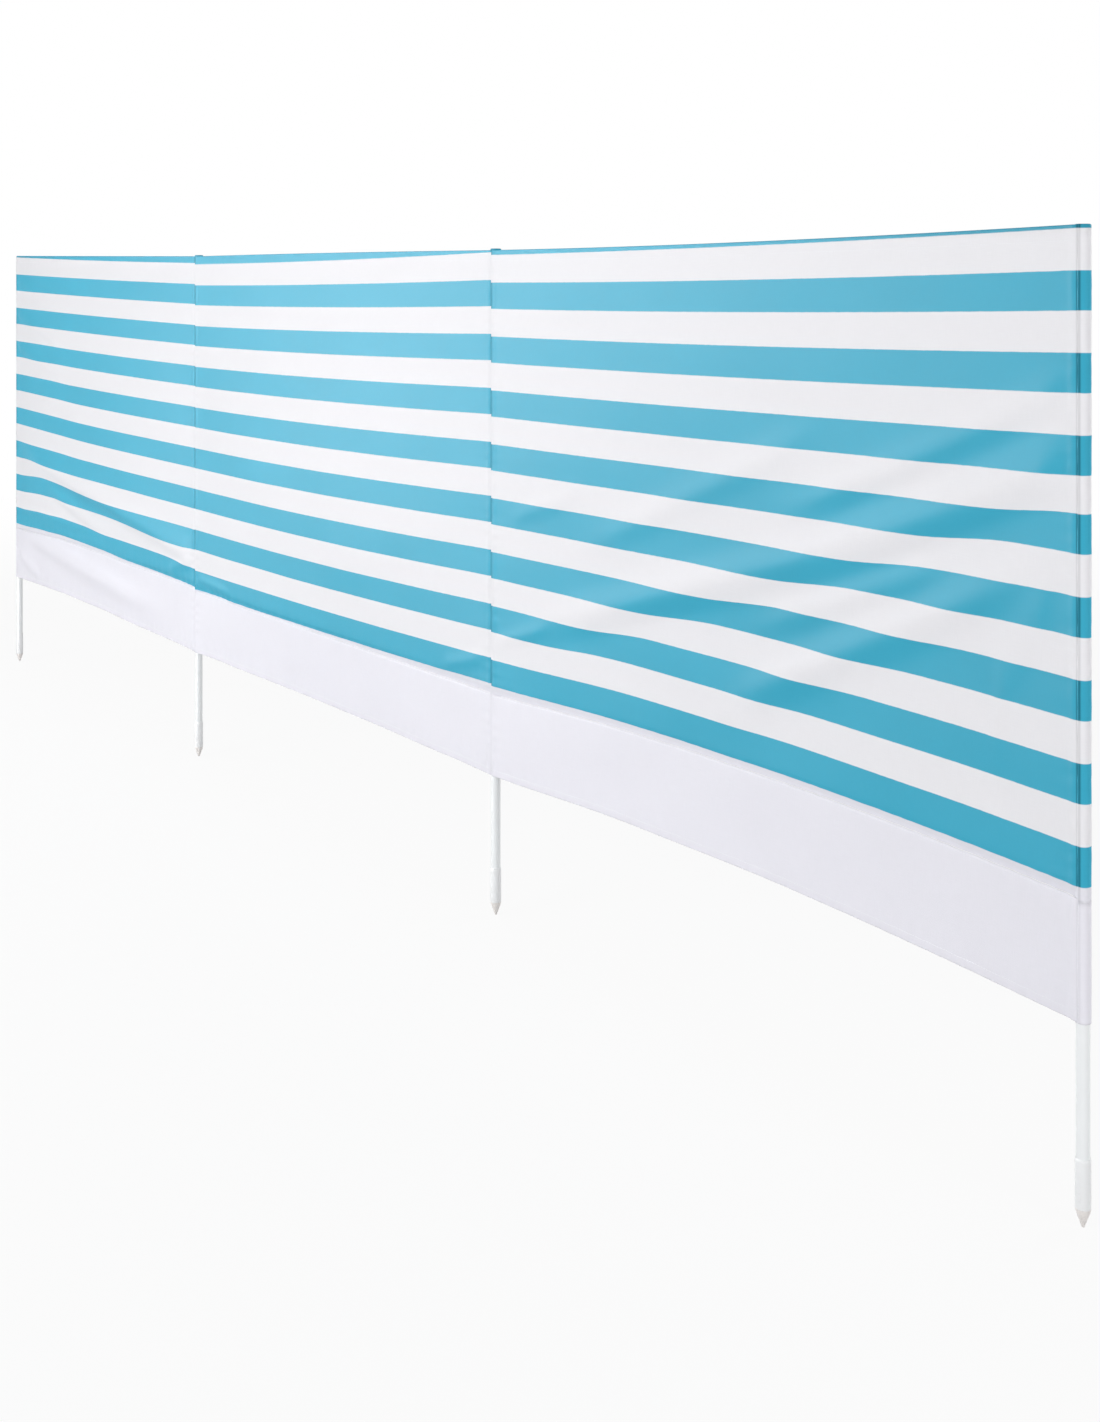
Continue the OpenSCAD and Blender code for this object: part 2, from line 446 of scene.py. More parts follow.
def bezier(path, t):
    """The x and z of the curve with the given control points."""
    points = np.asarray(path, float)
    order = len(points) - 1
    weights = [math.comb(order, k) * t ** k * (1 - t) ** (order - k) for k in range(order + 1)]
    return (np.stack(weights, -1) @ points).T


def fold_places(fold, x, z):
    """Places by a fold: half widths above its line, half widths past its ends, and its fading there."""
    t = np.linspace(0, 1, FOLD_SAMPLES)
    line_x, line_z = bezier(fold.path, t)
    slope = np.interp(x, line_x, np.gradient(line_z, line_x))
    level = 1 / np.sqrt(1 + slope ** 2)
    above = (z - np.interp(x, line_x, line_z)) * level / fold.width
    beyond = (x - np.clip(x, line_x[0], line_x[-1])) / (level * fold.width)
    along = np.interp(x, line_x, t)
    left, right = bay_ends(fold.bay)
    fade = np.ones_like(above)
    if line_x[0] > left + POLE_NEAR:
        fade = fade * ease(along / FOLD_FADE)
    if line_x[-1] < right - POLE_NEAR:
        fade = fade * ease((1 - along) / FOLD_FADE)
    return above, beyond, fade


def fold_height(fold, x, z):
    """How far a fold stands out at points of the cloth: a crest just above its line."""
    above, beyond, fade = fold_places(fold, x, z)
    return fold.height * fade * np.exp(-(above - FOLD_LEAD) ** 2 - beyond ** 2)


def fold_lift(bay, x, z):
    """How far a bay's folds draw up the cloth below them: less the further down it hangs and by the poles."""
    lift = np.zeros_like(x)
    for fold in FOLDS:
        if fold.bay == bay and fold.take > 0:
            above, _, fade = fold_places(fold, x, z)
            below = ease((1 - above - fold.lag) / 2) * np.exp(np.minimum(above, 0) * fold.width / TAKE_REACH)
            lift += fold.take * fade * below
    return lift * (1 - POLE_HOLD * np.exp(-np.abs(from_poles(bay, x)) / POLE_HOLD_REACH))


def ripples(x, z):
    """Gentle seeded unevenness, from about -1 to 1."""
    draw = np.random.default_rng(RIPPLE_SEED)
    total = np.zeros_like(x)
    for _ in range(RIPPLE_COUNT):
        length = draw.uniform(*RIPPLE_LENGTHS)
        lean = draw.uniform(-RIPPLE_LEAN, RIPPLE_LEAN)
        phase = draw.uniform(0, 2 * math.pi)
        wave = 2 * math.pi / length
        total += np.sin(wave * (x * math.sin(lean) + z * math.cos(lean)) + phase) * length
    usual = sum(RIPPLE_LENGTHS) / 2
    return total / (usual * math.sqrt(RIPPLE_COUNT))


def uneven_wave(place, length, wander, pace, bay):
    """Waves along a sewn line whose length wanders, differently in each bay."""
    return np.sin(2 * math.pi * (place / length + wander * np.sin(place * pace + bay)))


def puckers(bay, x, z):
    """Small waves along the sewn lines, from about -1 to 1."""
    aside = from_poles(bay, x)
    near_pole = np.exp(-aside / PUCKER_AT_POLE) * ease(aside / PUCKER_START)
    near_seam = np.exp(-np.abs(z - SEAM_Z) / PUCKER_AT_SEAM)
    near_top = np.exp(-np.abs(z - TOP_Z + TOP_HEM) / PUCKER_AT_TOP)
    near_low = np.exp(-np.abs(z - LOW_Z - BOTTOM_HEM) / PUCKER_AT_LOW)
    upright = uneven_wave(z, *UPRIGHT_WAVE, bay)
    level = uneven_wave(x, *LEVEL_WAVE, bay)
    return near_pole * upright + (near_seam + PUCKER_TOP_SHARE * near_top + near_low) * level


def cloth_depth(sizes, bay, x, z):
    """Depth of a bay's cloth behind its sewn line: billow, folds, ripples, puckers and creases."""
    aside = from_poles(bay, x)
    held = ease(aside / SEAM_HOLD) * ease((TOP_Z - TOP_CLEAR - z) / TOP_HOLD)
    loose = sizes.ripple * ripples(x, z)
    for fold in FOLDS:
        if fold.bay == bay:
            loose = loose - fold_height(fold, x, z)
    crease = sizes.crease * np.exp(-(aside / CREASE_WIDTH) ** 2)
    ridge = sizes.ridge * np.exp(-((aside - RIDGE_PLACE) / RIDGE_WIDTH) ** 2)
    small = sizes.pucker * puckers(bay, x, z)
    return billow(sizes, bay, x, z) + held * loose + small + crease - ridge


def through(values, share):
    """Smooth curve through a left, a middle and a right value."""
    left, middle, right = values
    bend = 4 * middle * share * (1 - share)
    return left * (1 - share) * (1 - 2 * share) + bend + right * share * (2 * share - 1)


def edge_shift(bay, x, z):
    """How far the top and lower edges, and the cloth near them, leave the straight line."""
    share = across(bay, x)
    near_top = ease((z - TOP_Z + EDGE_REACH) / EDGE_REACH)
    near_low = ease((LOW_Z + EDGE_REACH - z) / EDGE_REACH)
    return through(LOW_EDGE[bay], share) * near_low + through(TOP_EDGE[bay], share) * near_top


def fold_over(flat, edge, radius):
    """A flat height taken up to an edge and folded to the back: the height, and how far behind the front."""
    start = edge - radius
    turn = np.clip((flat - start) / radius, 0, math.pi)
    past = np.maximum(flat - start - math.pi * radius, 0)
    height = np.minimum(flat, start) + radius * np.sin(turn) - past
    return height, radius * (1 - np.cos(turn))


def flat_rows(low, high, flap, radius):
    """Flat heights of a sheet's rows, from its low edge up over the fold at its high edge."""
    start = high - radius
    front = np.linspace(low, start, int((start - low) / ROW_STEP) + 1)
    arc = start + math.pi * radius * np.linspace(0, 1, FOLD_ROWS)[1:]
    back = arc[-1] + (flap - radius) * np.linspace(0, 1, FLAP_ROWS)[1:]
    return np.concatenate([front, arc, back])


def stripe_count(bay, x, z):
    """Stripes counted down from the first one's top edge: each whole number starts a blue stripe."""
    share = across(bay, x)
    first = through(STRIPE_TOP[bay], share)
    return (first - z) / through(STRIPE_PITCH[bay], share)


def grid_normals(points, wrap=False):
    """Unit normals of a grid of points, rows upwards and columns to the right as seen from outside."""
    if wrap:
        along = np.roll(points, -1, 1) - np.roll(points, 1, 1)
    else:
        along = np.gradient(points, axis=1)
    normals = np.cross(along, np.gradient(points, axis=0))
    return normals / np.maximum(np.linalg.norm(normals, axis=-1, keepdims=True), TINY)


def grid_faces(rows, columns, wrap=False):
    """Quads of a grid, counter-clockwise as seen from outside."""
    j, i = np.meshgrid(np.arange(rows - 1), np.arange(columns if wrap else columns - 1), indexing="ij")
    k = (i + 1) % columns
    quads = np.stack([j * columns + i, j * columns + k, (j + 1) * columns + k, (j + 1) * columns + i], -1)
    return quads.reshape(-1, 4)


def rim_faces(outer, inner):
    """Quads between an edge of the outer layer and the same edge of the inner one."""
    return np.stack([outer[:-1], inner[:-1], inner[1:], outer[1:]], -1)


def add_mesh(name, points, faces, materials, smooth=True):
    """A new object of the scene from arrays of points and faces."""
    mesh = bpy.data.meshes.new(name)
    mesh.from_pydata([tuple(p) for p in points], [], [tuple(f) for f in faces])
    for material in materials:
        mesh.materials.append(material)
    if smooth:
        mesh.shade_smooth()
    mesh.update()
    piece = bpy.data.objects.new(name, mesh)
    bpy.context.scene.collection.objects.link(piece)
    return piece


def add_values(piece, stripe, weave):
    """Gives a cloth its stripe count at each point, and its flat place along and up the cloth as a UV map."""
    mesh = piece.data
    if stripe is not None:
        attribute = mesh.attributes.new("stripe", "FLOAT", "POINT")
        attribute.data.foreach_set("value", stripe.astype(np.float32).ravel())
    corners = np.zeros(len(mesh.loops), np.int32)
    mesh.loops.foreach_get("vertex_index", corners)
    layer = mesh.uv_layers.new(name="Weave")
    layer.uv.foreach_set("vector", weave[corners].astype(np.float32).ravel())


def add_cloth(name, middle, thickness, stripe, weave, materials, wrap=False):
    """A closed sheet of cloth round a grid of its middle surface, with its printed side outwards."""
    rows, columns = middle.shape[:2]
    normals = grid_normals(middle, wrap)
    outer = middle + normals * thickness / 2
    inner = middle - normals * thickness / 2
    count = rows * columns
    index = np.arange(count).reshape(rows, columns)
    front = grid_faces(rows, columns, wrap)
    back = front[:, ::-1] + count
    loop = np.append(np.arange(columns), 0) if wrap else np.arange(columns)
    edges = [index[0, loop][::-1], index[-1, loop]]
    if not wrap:
        edges += [index[:, 0], index[::-1, -1]]
    faces = np.concatenate([front, back, *(rim_faces(edge, edge + count) for edge in edges)])
    points = np.concatenate([outer.reshape(-1, 3), inner.reshape(-1, 3)])
    piece = add_mesh(name, points, faces, materials)
    sides = np.zeros(len(faces), np.int32)
    sides[len(front):len(front) + len(back)] = min(1, len(materials) - 1)
    piece.data.polygons.foreach_set("material_index", sides)
    both = None if stripe is None else np.concatenate([stripe.ravel(), stripe.ravel()])
    add_values(piece, both, np.concatenate([weave.reshape(-1, 2)] * 2))
    return piece


def hang(piece, bay):
    """Attaches the middle bay's cloth to its body; the other bays' cloth keeps its place, baked into its
    mesh.
    """
    if BAY_BODY[bay] == MIDDLE_BODY:
        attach(piece, MIDDLE_BODY)
        return
    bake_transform(piece)


def panel_points(sizes, bay, flat):
    """Grid of a striped panel's middle surface, and the printed height at each point."""
    x, s = np.meshgrid(bay_columns(bay), flat)
    z, behind = fold_over(s, TOP_Z, sizes.fold_radius)
    shift = edge_shift(bay, x, z)
    tuck = sizes.tuck * ease(1 - (z - SEAM_Z) / TUCK_REACH)
    y = CLOTH_Y + cloth_depth(sizes, bay, x, z) + behind + tuck
    return np.stack([x, y, z + shift + fold_lift(bay, x, z)], -1), s + shift


def skirt_points(sizes, bay, flat):
    """Grid of a skirt's middle surface: its rows run from the flap behind, round the lower edge, up the front
    and over its upper edge, which is turned in."""
    x, s = np.meshgrid(bay_columns(bay), flat)
    mirrored, behind = fold_over(-s, -LOW_Z, sizes.fold_radius)
    z, turned = fold_over(-mirrored, SEAM_Z, sizes.fold_radius)
    y = CLOTH_Y + cloth_depth(sizes, bay, x, z) + behind + turned
    return np.stack([x, y, z + edge_shift(bay, x, z) + fold_lift(bay, x, z)], -1)


def new_material(name):
    """A material, its node tree and the shader in it."""
    material = bpy.data.materials.new(name)
    material.use_nodes = True
    tree = material.node_tree
    return material, tree, tree.nodes["Principled BSDF"]


def join(tree, value, socket):
    """Gives a socket a value, or links another socket to it."""
    if isinstance(value, bpy.types.NodeSocket):
        tree.links.new(value, socket)
    else:
        socket.default_value = value


def add_node(tree, kind, settings=None, **inputs):
    """A node of a tree with properties from settings, and with inputs by name, or by number as in i0."""
    node = tree.nodes.new(kind)
    for key, value in (settings or {}).items():
        setattr(node, key, value)
    for key, value in inputs.items():
        join(tree, value, node.inputs[int(key[1:]) if key[1:].isdigit() else key])
    return node


def math_node(tree, operation, *values):
    """Result of a maths node on values or sockets."""
    node = add_node(tree, "ShaderNodeMath", {"operation": operation},
                    **{f"i{k}": value for k, value in enumerate(values)})
    return node.outputs[0]


def multiplied(tree, first, second):
    """Product of two values or sockets."""
    return math_node(tree, "MULTIPLY", first, second)


def one_less(tree, value):
    """1 less a value."""
    return math_node(tree, "SUBTRACT", 1.0, value)


def part_of(tree, place, axis):
    """One coordinate of a place."""
    return add_node(tree, "ShaderNodeSeparateXYZ", i0=place).outputs[axis]


def noise(tree, place, scale, detail=2.0, roughness=0.5):
    """A noise value from 0 to 1 at a place."""
    node = add_node(tree, "ShaderNodeTexNoise", Vector=place, Scale=scale, Detail=detail, Roughness=roughness)
    return node.outputs[0]


def spread(tree, value, low, high):
    """A value from 0 to 1 taken to a range."""
    node = add_node(tree, "ShaderNodeMapRange", Value=value, **{"To Min": low, "To Max": high})
    return node.outputs[0]


def soft_step(tree, value, start, end):
    """0 before start, 1 after end and smooth between them."""
    node = add_node(tree, "ShaderNodeMapRange", {"interpolation_type": "SMOOTHSTEP"}, Value=value,
                    **{"From Min": start, "From Max": end})
    return node.outputs[0]


def cloudy(tree, place, clouds):
    """A value that drifts up and down from 1."""
    return spread(tree, noise(tree, place, clouds.scale, clouds.detail), 1 - clouds.depth, 1 + clouds.depth)


def mix_colour(tree, share, first, second):
    """Two colours mixed by a share."""
    node = add_node(tree, "ShaderNodeMix", {"data_type": "RGBA"}, i0=share)
    for socket, value in ((node.inputs[6], first), (node.inputs[7], second)):
        join(tree, (*value, 1.0) if isinstance(value, tuple) else value, socket)
    return node.outputs[2]


def shaded(tree, colour, value):
    """A colour made lighter or darker by a value near 1."""
    node = add_node(tree, "ShaderNodeVectorMath", {"operation": "SCALE"}, i0=colour, Scale=value)
    return node.outputs[0]


def threads(tree):
    """Place on the flat cloth, the uneven threads of its weave and the height of their crossings."""
    place = add_node(tree, "ShaderNodeUVMap", {"uv_map": "Weave"}).outputs[0]
    scales = ((SLUBS_ALONG, SLUBS_ACROSS, 1.0), (SLUBS_ACROSS, SLUBS_ALONG, 1.0), (CROSSINGS, CROSSINGS, 1.0))
    weft, warp, fine = (add_node(tree, "ShaderNodeMapping", Vector=place, Scale=s).outputs[0] for s in scales)
    slubs = math_node(tree, "ADD", noise(tree, weft, 1.0, 1.0), noise(tree, warp, 1.0, 1.0))
    over, under = (math_node(tree, "SINE", multiplied(tree, part_of(tree, fine, k), math.pi)) for k in (0, 1))
    return place, slubs, multiplied(tree, over, under)


def finish_cloth(tree, shader, colour, gloss, slubs, crossing):
    """Joins a cloth's colour, gloss and weave to its shader."""
    uneven = multiplied(tree, slubs, 0.5)
    relief = math_node(tree, "ADD", slubs, multiplied(tree, crossing, CROSSING_SHARE))
    bump = add_node(tree, "ShaderNodeBump", Height=relief, Strength=WEAVE_STRENGTH, Distance=WEAVE_RELIEF)
    join(tree, shaded(tree, colour, spread(tree, uneven, *SLUB_TONE)), shader.inputs["Base Color"])
    join(tree, bump.outputs[0], shader.inputs["Normal"])
    join(tree, spread(tree, uneven, *SLUB_ROUGHNESS), shader.inputs["Roughness"])
    join(tree, gloss, shader.inputs["Specular IOR Level"])
    shader.inputs["Sheen Weight"].default_value = SHEEN
    shader.inputs["Sheen Roughness"].default_value = SHEEN_ROUGHNESS


def seam_line(tree, place):
    """1 along the upright seams in front of the poles, where crease shade is painted, and 0 beside them, and
    1 near both end poles.
    """
    along = part_of(tree, place, 0)
    aside = math_node(tree, "PINGPONG", math_node(tree, "SUBTRACT", along, POLE_X[1]), BAY_PITCH / 2)
    from_middle = math_node(tree, "ABSOLUTE", math_node(tree, "SUBTRACT", along, MIDDLE_X))
    at_end = soft_step(tree, from_middle, *(bays * BAY_PITCH for bays in END_ZONE))
    return one_less(tree, soft_step(tree, aside, SEAM_CORE, SEAM_LINE)), at_end


def seam_shade_factor(tree, seams, shares):
    """1 beside the seams, and less along them, where crease shade is painted, by the first share, or by the
    second at the end poles.
    """
    sewn, at_end = seams
    return one_less(tree, multiplied(tree, sewn, spread(tree, at_end, *shares)))


def painted_shade_bands(tree, place):
    """Where shade is painted on the striped cloth: 1 along the top hem's fold, and 1 above the skirt seam."""
    up = part_of(tree, place, 1)
    hem = soft_step(tree, up, TOP_Z - HEM_SHADE, TOP_Z)
    return hem, one_less(tree, soft_step(tree, up, *(SEAM_Z + height for height in SKIRT_SEAM_SHADE_END)))


def low_hem_shade(tree, place):
    """1 along the fold of the lower hem, where shade is painted, and 0 away from it."""
    up = part_of(tree, place, 1)
    aside = math_node(tree, "ABSOLUTE", math_node(tree, "SUBTRACT", up, LOW_Z - LOW_HEM_SHADE_BELOW))
    return one_less(tree, soft_step(tree, aside, *LOW_HEM_SHADE_WIDTH))


def striped_cloth(name, colours, ink):
    """Printed plain weave: blue stripes on white, as deep as the ink shows on that side, with painted shade
    along hems and seams.
    """
    material, tree, shader = new_material(name)
    place, slubs, crossing = threads(tree)
    count = add_node(tree, "ShaderNodeAttribute", {"attribute_name": "stripe"}).outputs["Fac"]
    wander = spread(tree, noise(tree, place, WANDER_SCALE), -PRINT_WANDER, PRINT_WANDER)
    part = math_node(tree, "FRACT", math_node(tree, "ADD", count, wander))
    starts = soft_step(tree, part, 0.0, PRINT_EDGE)
    ends = soft_step(tree, part, STRIPE_SHARE, STRIPE_SHARE + PRINT_EDGE)
    printed = multiplied(tree, math_node(tree, "SUBTRACT", starts, ends), ink)
    # Painted shade along the top hem's fold and on the white above the skirt seam
    hem, skirt_seam_shade = painted_shade_bands(tree, place)
    # Painted crease shade along the pole seams, which also lose gloss there
    seams = seam_line(tree, place)
    deep = multiplied(tree, seam_shade_factor(tree, seams, PRINT_SEAM_SHADE), spread(tree, hem, 1.0, PRINT_HEM_SHADE))
    blue = shaded(tree, tuple(colours.stripe), multiplied(tree, cloudy(tree, place, PRINT_CLOUDS), deep))
    pale = multiplied(tree, seam_shade_factor(tree, seams, BARE_SEAM_SHADE), spread(tree, hem, 1.0, BARE_HEM_SHADE))
    white = shaded(tree, mix_colour(tree, skirt_seam_shade, tuple(colours.ground), tuple(colours.skirt_seam_shade)), pale)
    gloss = spread(tree, printed, BARE_GLOSS, PRINT_GLOSS)
    gloss = multiplied(tree, gloss, seam_shade_factor(tree, seams, GLOSS_SEAM_SHADE))
    finish_cloth(tree, shader, mix_colour(tree, printed, white, blue), gloss, slubs, crossing)
    return material


def skirt_cloth(name, colours):
    """Plain lavender-white weave with a faint cloudiness, and painted shade along the pole seams and the
    lower hem's fold.
    """
    material, tree, shader = new_material(name)
    place, slubs, crossing = threads(tree)
    # Painted shade along the pole seams and along the lower hem's fold
    skirt_shade = multiplied(tree, seam_shade_factor(tree, seam_line(tree, place), SKIRT_SEAM_SHADE),
                       spread(tree, low_hem_shade(tree, place), 1.0, LOW_HEM_SHADE_TONE))
    tone = multiplied(tree, cloudy(tree, place, SKIRT_CLOUDS), skirt_shade)
    finish_cloth(tree, shader, shaded(tree, tuple(colours.skirt), tone), SKIRT_GLOSS, slubs, crossing)
    return material


def thread_material(name, colours):
    """Twisted white sewing thread."""
    material, tree, shader = new_material(name)
    place = add_node(tree, "ShaderNodeTexCoord").outputs["Object"]
    tone = cloudy(tree, place, THREAD_CLOUDS)
    join(tree, shaded(tree, tuple(colours.thread), tone), shader.inputs["Base Color"])
    shader.inputs["Roughness"].default_value = THREAD_ROUGHNESS
    return material


def hard_material(name, colour):
    """A hard finish: faint orange peel or moulding grain, and dull scuffs towards the foot."""
    finish = HARD_FINISHES[name]
    material, tree, shader = new_material(name)
    place = add_node(tree, "ShaderNodeTexCoord").outputs["Object"]
    low = one_less(tree, soft_step(tree, part_of(tree, place, 2), 0.0, SCUFF_REACH))
    marks = soft_step(tree, noise(tree, place, *SCUFF_NOISE), *SCUFF_RANGE)
    worn = multiplied(tree, multiplied(tree, marks, low), finish.scuff)
    tone = shaded(tree, tuple(colour), cloudy(tree, place, HARD_CLOUDS))
    dull = tuple(SCUFF_TONE * c for c in colour)
    smears = spread(tree, noise(tree, place, *SMEAR_NOISE),
                    finish.roughness - SMEAR_DEPTH, finish.roughness + SMEAR_DEPTH)
    rough = math_node(tree, "ADD", smears, multiplied(tree, worn, SCUFF_ROUGHNESS))
    bump = add_node(tree, "ShaderNodeBump", Height=noise(tree, place, finish.grain),
                    Strength=GRAIN_STRENGTH, Distance=GRAIN_RELIEF)
    join(tree, mix_colour(tree, worn, tone, dull), shader.inputs["Base Color"])
    join(tree, rough, shader.inputs["Roughness"])
    join(tree, bump.outputs[0], shader.inputs["Normal"])
    return material


def finish_named(name, make, *values):
    """The material of that name, made once."""
    return bpy.data.materials.get(name) or make(name, *values)


def striped_sides(context):
    """Materials of the striped cloth's printed side and of its reverse, where the ink shows through paler."""
    colours = context.scene.windbreak_colours
    return [finish_named("printed_weave", striped_cloth, colours, 1.0),
            finish_named("printed_weave_reverse", striped_cloth, colours, REVERSE_INK)]


def plain_sides(context):
    """Material of the plain cloth, which looks the same on both sides."""
    return [finish_named("plain_weave", skirt_cloth, context.scene.windbreak_colours)]


def lathe(name, profile, centre_x, material):
    """A turned piece: the profile's (radius, height) points swept round an upright axis."""
    angle = 2 * math.pi * np.arange(TURNED_SIDES) / TURNED_SIDES
    radius, height = np.asarray(profile, float).T
    x = centre_x + radius[:, None] * np.cos(angle)
    y = radius[:, None] * np.sin(angle)
    points = np.stack([x, y, np.repeat(height[:, None], TURNED_SIDES, 1)], -1)
    return add_mesh(name, points.reshape(-1, 3), grid_faces(len(radius), TURNED_SIDES, wrap=True), [material])


def rounded(corner, before, after, radius):
    """Points of an arc that rounds a corner of a profile."""
    corner, before, after = (np.asarray(p, float) for p in (corner, before, after))
    start = corner + (before - corner) / np.linalg.norm(before - corner) * radius
    end = corner + (after - corner) / np.linalg.norm(after - corner) * radius
    t = np.linspace(0, 1, ROUNDING_POINTS)[:, None]
    return (1 - t) ** 2 * start + 2 * t * (1 - t) * corner + t ** 2 * end


def rounded_profile(corners, radii):
    """A profile through corners, each rounded by its own radius; the first and last stay as they are."""
    points = [np.asarray([corners[0]], float)]
    for k in range(1, len(corners) - 1):
        points.append(rounded(corners[k], corners[k - 1], corners[k + 1], radii[k - 1]))
    points.append(np.asarray([corners[-1]], float))
    return np.concatenate(points)


def teardrop():
    """Plan of a pole pocket's cloth, seen from above: a loop round the pole that closes at its sewn line."""
    tip = (0.0, CLOTH_Y + TIP_BACK)
    reach = math.hypot(*tip)
    facing = math.atan2(tip[1], tip[0])
    open_half = math.acos(min(1.0, LOOP_MIDDLE_R / reach))
    angle = facing + np.linspace(open_half, 2 * math.pi - open_half, LOOP_SIDES - 2 * LOOP_FLANK)
    arc = np.stack([np.cos(angle), np.sin(angle)], -1) * LOOP_MIDDLE_R
    t = np.linspace(0, 1, LOOP_FLANK + 2)[1:-1, None]
    tip = np.array([tip])
    return np.concatenate([tip, tip + (arc[0] - tip) * t, arc, arc[-1] + (tip - arc[-1]) * t])


def loop_rows(low, high, closed):
    """Heights of a pocket's rows and how far each is drawn in: an upper pocket closes over its pole."""
    straight = np.linspace(low, high - CLOSED_CORNER if closed else high, int((high - low) / LOOP_STEP))
    if not closed:
        return straight, np.ones_like(straight)
    turn = np.linspace(0, math.pi / 2, CORNER_ROWS)[1:]
    corner = straight[-1] + CLOSED_CORNER * np.sin(turn)
    drawn = 1 - CLOSED_CORNER / LOOP_R * (1 - np.cos(turn))
    lid = drawn[-1] * np.linspace(1, LID_HOLE, LID_ROWS)[1:]
    heights = np.concatenate([straight, corner, np.full_like(lid, high)])
    return heights, np.concatenate([np.ones_like(straight), drawn, lid])


def loop_points(pole, low, high, closed):
    """Grid of a pocket's middle surface, and its place on the flat cloth."""
    plan = teardrop()
    heights, drawn = loop_rows(low, high, closed)
    slack = UPPER_SLACK if closed else LOWER_SLACK
    quick, slow, fine = SLACK_PACES
    wave = np.sin(heights * quick + pole) * np.sin(heights * slow + 2 * pole)
    turn = np.arctan2(plan[:, 1], plan[:, 0])
    twofold = wave[:, None] * np.sin(2 * turn + pole)
    threefold = SLACK_FINE * np.sin(3 * turn + heights[:, None] * fine)
    tip_far = np.linalg.norm(plan, axis=1) / LOOP_MIDDLE_R
    swell = np.where(tip_far > SEWN_FROM, 1.0, 1 + slack * (twofold + threefold))
    points = np.empty((len(heights), len(plan), 3))
    points[..., 0] = POLE_X[pole] + plan[:, 0] * swell * drawn[:, None]
    points[..., 1] = plan[:, 1] * swell * drawn[:, None]
    points[..., 2] = heights[:, None]
    round_it = np.concatenate([[0], np.cumsum(np.linalg.norm(np.diff(plan, axis=0), axis=1))])
    weave = np.stack(np.broadcast_arrays(round_it + POLE_X[pole], heights[:, None]), -1)
    return points, weave


def stitch_run(sizes, line, outwards):
    """Points and faces of a row of stitches along a line, lying on the side that outwards points to."""
    steps = np.linalg.norm(np.diff(line, axis=0), axis=1)
    place = np.concatenate([[0], np.cumsum(steps)])
    pitch = sizes.stitch_length + sizes.stitch_gap
    centres = np.arange(pitch / 2, place[-1], pitch)
    angle = 2 * math.pi * np.arange(STITCH_SIDES) / STITCH_SIDES
    radius = sizes.thread_diameter / 2
    where = centres[:, None] + STITCH_STATIONS * sizes.stitch_length
    spine = np.stack([np.interp(where, place, line[:, k]) for k in range(3)], -1)
    up = np.stack([np.interp(where, place, outwards[:, k]) for k in range(3)], -1)
    spine = spine + up * (STITCH_LIFT * radius)[None, :, None]
    along = spine[:, -1:] - spine[:, :1]
    along = along / np.linalg.norm(along, axis=-1, keepdims=True)
    aside = np.cross(np.broadcast_to(along, up.shape), up)
    ring = aside[:, :, None] * np.cos(angle)[:, None] + up[:, :, None] * np.sin(angle)[:, None]
    points = spine[:, :, None] + ring * (STITCH_FATNESS * radius)[None, :, None, None]
    single = grid_faces(len(STITCH_STATIONS), STITCH_SIDES, wrap=True)
    count = len(STITCH_STATIONS) * STITCH_SIDES
    caps = [np.arange(STITCH_SIDES)[::-1], np.arange(count - STITCH_SIDES, count)]
    quads = [single + k * count for k in range(len(centres))]
    ends = [cap + k * count for k in range(len(centres)) for cap in caps]
    return points.reshape(-1, 3), np.concatenate(quads), ends


def add_stitches(name, sizes, runs, material):
    """One piece from several rows of stitches."""
    points, faces, offset = [], [], 0
    for line, outwards in runs:
        more, quads, ends = stitch_run(sizes, line, outwards)
        points.append(more)
        faces += [tuple(q + offset) for q in quads] + [tuple(e + offset) for e in ends]
        offset += len(more)
    return add_mesh(name, np.concatenate(points), faces, [material])


def sewn_line(sizes, bay, x, z, side):
    """A line on the front (-1) or the back (1) of a bay's cloth, and its outward direction at each point."""
    behind = 2 * sizes.fold_radius if side > 0 else 0.0
    y = CLOTH_Y + cloth_depth(sizes, bay, x, z) + behind + side * sizes.cloth_thickness / 2
    line = np.stack([x, y, z + edge_shift(bay, x, z) + fold_lift(bay, x, z)], -1)
    return line, np.tile((0.0, float(side), 0.0), (len(x), 1))


def level_line(sizes, bay, height, side):
    """A sewn line along a bay at a height."""
    left, right = bay_ends(bay)
    x = np.linspace(left + ROW_INSET, right - ROW_INSET, LEVEL_POINTS)
    return sewn_line(sizes, bay, x, np.full_like(x, height), side)


def pocket_line(sizes, pole):
    """A sewn line up the front of a lower pocket."""
    z = np.linspace(LOW_Z + POCKET_ROW_LOW, SEAM_Z - POCKET_ROW_HIGH, UPRIGHT_POINTS)
    return sewn_line(sizes, bay_at(pole), np.full_like(z, POLE_X[pole]), z, -1)


class WINDBREAK_OT_striped_panels(bpy.types.Operator):
    """Make the three striped panels, each with its top hem folded to the back"""

    bl_idname = "windbreak.striped_panels"
    bl_label = "Striped Panels"

    def execute(self, context):
        sizes = context.scene.windbreak_sizes
        flat = flat_rows(SEAM_Z, TOP_Z, TOP_HEM, sizes.fold_radius)
        for bay in BAYS:
            middle, printed = panel_points(sizes, bay, flat)
            stripe = stripe_count(bay, middle[..., 0], printed)
            weave = np.stack([middle[..., 0], printed], -1)
            piece = add_cloth(f"panel_cloth_{bay}", middle, sizes.cloth_thickness, stripe, weave,
                              striped_sides(context))
            hang(piece, bay)
            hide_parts(f"striped_panel_{bay}", f"top_hem_{bay}")
        return {"FINISHED"}


